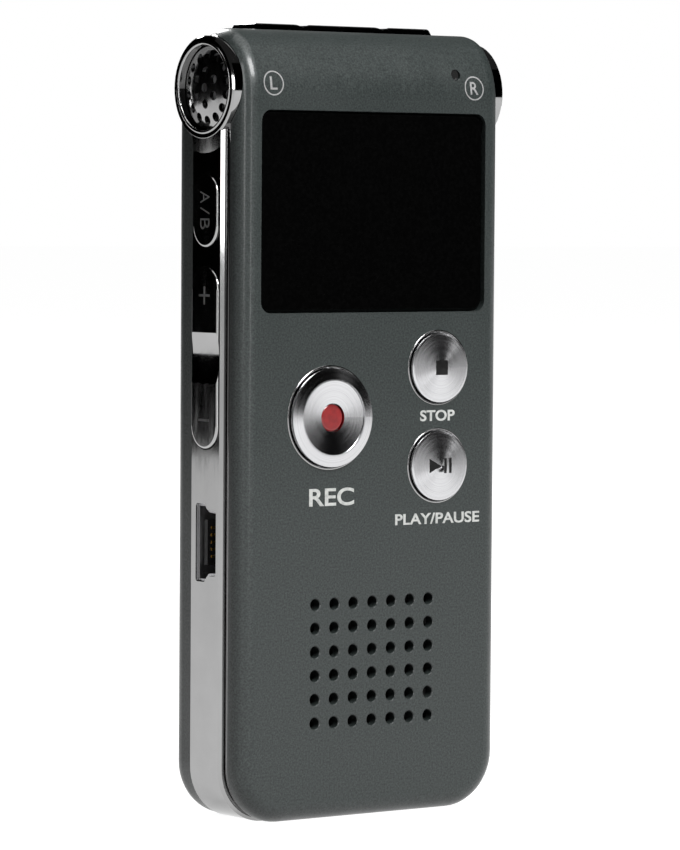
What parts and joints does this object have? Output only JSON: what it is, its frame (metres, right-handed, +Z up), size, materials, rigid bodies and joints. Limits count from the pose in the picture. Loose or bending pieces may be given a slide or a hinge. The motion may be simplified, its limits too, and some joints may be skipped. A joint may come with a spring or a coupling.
{
  "type": "digital voice recorder",
  "caption": "Slim upright pocket voice recorder: painted metal covers round a plated band, display window, record key, side rockers, corner microphones and speaker holes.",
  "frame": {"origin": "centre of the lower end: mid-width and mid-depth of the case, at the height of the surface it stands on", "axes": "+X to the right seen from the front, +Y from the front face towards the back, +Z up along the length"},
  "size_m": [0.0383, 0.0141, 0.0887],
  "materials": {
    "cover_paint": "fine metallic satin paint, dark grey with a little green",
    "band_chrome": "polished bright plating",
    "window_black": "black polished window",
    "key_metal": "turned bright metal with fine rings",
    "red_enamel": "glossy red",
    "side_key_chrome": "polished bright plating",
    "grille_metal": "bright perforated cap",
    "black_rubber": "matte black rubber or foam",
    "lcd_glass": "dark display glass",
    "white_plastic": "white diffuser plastic",
    "flex_film": "amber film",
    "board_green": "green solder mask",
    "chip_black": "black moulded package",
    "part_steel": "plain bright steel",
    "switch_black": "black switch body",
    "socket_steel": "plated socket shell",
    "socket_black": "black socket plastic",
    "speaker_paper": "black pressed cone",
    "battery_foil": "silver pouch foil",
    "pipe_clear": "clear plastic rod"
  },
  "bodies": {
    "case": {"front_cover": "cover_paint", "rear_cover": "cover_paint", "mid_frame": "band_chrome", "mic_ring_left": "band_chrome", "mic_ring_right": "band_chrome", "rec_bezel": "band_chrome", "stop_bezel": "band_chrome", "play_pause_bezel": "band_chrome", "display_window": "window_black", "mic_grille_left": "grille_metal", "mic_grille_right": "grille_metal", "window_gasket": "black_rubber", "speaker_gasket": "black_rubber", "mic_boot_left": "black_rubber", "mic_boot_right": "black_rubber", "battery_pad": "black_rubber", "lcd_glass": "lcd_glass", "lcd_backlight": "white_plastic", "indicator_led": "white_plastic", "lcd_flex": "flex_film", "main_board": "board_green", "controller_chip": "chip_black", "flash_chip": "chip_black", "crystal_can": "part_steel", "board_screw_1": "part_steel", "board_screw_2": "part_steel", "board_screw_3": "part_steel", "volume_rocker_pin": "part_steel", "track_rocker_pin": "part_steel", "mic_capsule_left": "part_steel", "mic_capsule_right": "part_steel", "speaker_magnet": "part_steel", "rec_switch": "switch_black", "stop_switch": "switch_black", "play_pause_switch": "switch_black", "ab_switch": "switch_black", "menu_switch": "switch_black", "volume_up_switch": "switch_black", "volume_down_switch": "switch_black", "track_next_switch": "switch_black", "track_back_switch": "switch_black", "power_switch": "switch_black", "usb_shell": "socket_steel", "usb_tongue": "socket_black", "phones_jack": "socket_black", "line_in_jack": "socket_black", "speaker_frame": "socket_black", "speaker_cone": "speaker_paper", "battery_cell": "battery_foil", "indicator_light_pipe": "pipe_clear"},
    "rec_key": {"rec_button": "key_metal", "rec_button_dot": "red_enamel"},
    "stop_key": {"stop_button": "key_metal"},
    "play_pause_key": {"play_pause_button": "key_metal"},
    "ab_key": {"ab_button": "side_key_chrome"},
    "menu_key": {"menu_button": "side_key_chrome"},
    "volume_key": {"volume_rocker": "side_key_chrome"},
    "track_key": {"track_rocker": "side_key_chrome"},
    "power_knob": {"power_slider": "side_key_chrome"}
  },
  "joints": [
    {"name": "rec_press", "type": "slide", "parent": "case", "child": "rec_key", "axis": [0, 1, 0], "range_m": [0, 0.0003], "stiffness_N_per_m": 1500},
    {"name": "stop_press", "type": "slide", "parent": "case", "child": "stop_key", "axis": [0, 1, 0], "range_m": [0, 0.0003], "stiffness_N_per_m": 1500},
    {"name": "play_pause_press", "type": "slide", "parent": "case", "child": "play_pause_key", "axis": [0, 1, 0], "range_m": [0, 0.0003], "stiffness_N_per_m": 1500},
    {"name": "ab_press", "type": "slide", "parent": "case", "child": "ab_key", "axis": [1, 0, 0], "range_m": [0, 0.00025], "stiffness_N_per_m": 1500},
    {"name": "menu_press", "type": "slide", "parent": "case", "child": "menu_key", "axis": [-1, 0, 0], "range_m": [0, 0.00025], "stiffness_N_per_m": 1500},
    {"name": "volume_rock", "type": "hinge", "parent": "case", "child": "volume_key", "pos_m": [-0.0159, -0.00052, 0.0516], "axis": [0, 1, 0], "range_deg": [-1.5, 1.5], "stiffness_Nm_per_rad": 0.1},
    {"name": "track_rock", "type": "hinge", "parent": "case", "child": "track_key", "pos_m": [0.0159, -0.00052, 0.0516], "axis": [0, 1, 0], "range_deg": [-1.5, 1.5], "stiffness_Nm_per_rad": 0.1},
    {"name": "power_slide", "type": "slide", "parent": "case", "child": "power_knob", "axis": [0, 0, 1], "range_m": [0, 0.0024]}
  ]
}
